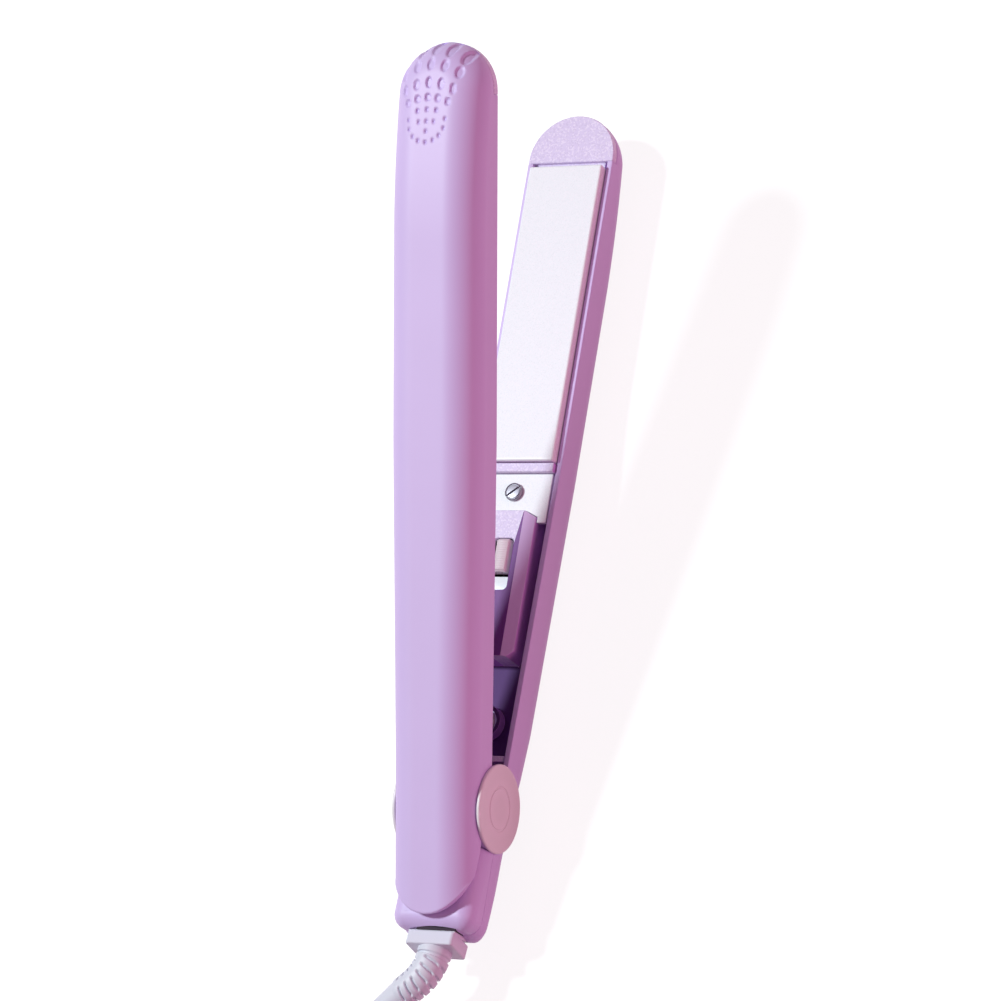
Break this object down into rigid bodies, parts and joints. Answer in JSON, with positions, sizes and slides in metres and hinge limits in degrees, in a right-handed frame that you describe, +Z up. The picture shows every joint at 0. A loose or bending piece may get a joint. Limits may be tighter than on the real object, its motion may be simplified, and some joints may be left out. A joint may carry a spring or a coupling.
{
  "type": "hair styling iron",
  "caption": "Small two-arm hair styling iron with flat coated heating plates, a sprung hinge, a slide switch inside the lower arm and a mains lead tied in a hank",
  "frame": {"origin": "centre of the object's footprint at table height, with the lower arm's flat outer face at z 0; the lead is left out of the box", "axes": "+X across the arms to the right seen from the handle, +Y along the lower arm to its tip, +Z up out of the table"},
  "size_m": [0.0613, 0.3429, 0.0813],
  "materials": {
    "casing": "lavender gloss moulding",
    "inner_moulding": "lavender semi-gloss moulding",
    "plate_coating": "white ceramic coat, satin",
    "film": "amber insulating film",
    "steel": "plated",
    "black_resin": "heat-resisting resin",
    "board": "solder mask",
    "wire_cover": "silicone insulation",
    "cap_plastic": "pinkish white gloss moulding",
    "pale_plastic": "pale semi-gloss moulding",
    "lead_cover": "soft flexible plastic",
    "tie_rubber": "matt band",
    "brass": "nickel-plated"
  },
  "bodies": {
    "lower_arm": {"lower_outer_shell": "casing", "lower_inner_frame": "inner_moulding", "lower_heating_plate": "plate_coating", "lower_heater_element": "film", "lower_heater_clamp": "steel", "lower_plate_carrier": "black_resin", "lower_plate_retainer": "plate_coating", "lower_retainer_screw": "steel", "thermal_fuse": "steel", "circuit_board": "board", "switch_body": "black_resin", "lower_leads": "wire_cover", "rear_cover": "casing", "rear_cover_screws": "steel", "hinge_pin": "steel", "hinge_cap_left": "cap_plastic", "hinge_cap_right": "cap_plastic", "return_spring": "steel", "cord_gland": "pale_plastic", "strain_relief": "lead_cover", "power_cord": "lead_cover", "cord_hank": "lead_cover", "hank_tie": "tie_rubber", "plug_body": "pale_plastic", "plug_pins": "brass"},
    "upper_arm": {"upper_outer_shell": "casing", "upper_inner_frame": "inner_moulding", "upper_heating_plate": "plate_coating", "upper_heater_element": "film", "upper_heater_clamp": "steel", "upper_plate_carrier": "black_resin", "upper_plate_retainer": "plate_coating", "upper_retainer_screw": "steel", "upper_frame_screws": "steel", "upper_leads": "wire_cover"},
    "switch_slider": {"switch_slider": "pale_plastic"}
  },
  "joints": [
    {"name": "arm_hinge", "type": "hinge", "parent": "lower_arm", "child": "upper_arm", "pos_m": [0, -0.0682, 0.0152], "axis": [1, 0, 0], "range_deg": [-19.8, 0], "stiffness_Nm_per_rad": 0.35, "springref_deg": 20.05, "deforming": ["return_spring"]},
    {"name": "switch_slide", "type": "slide", "parent": "lower_arm", "child": "switch_slider", "axis": [0, -1, 0], "range_m": [0, 0.0039]}
  ]
}
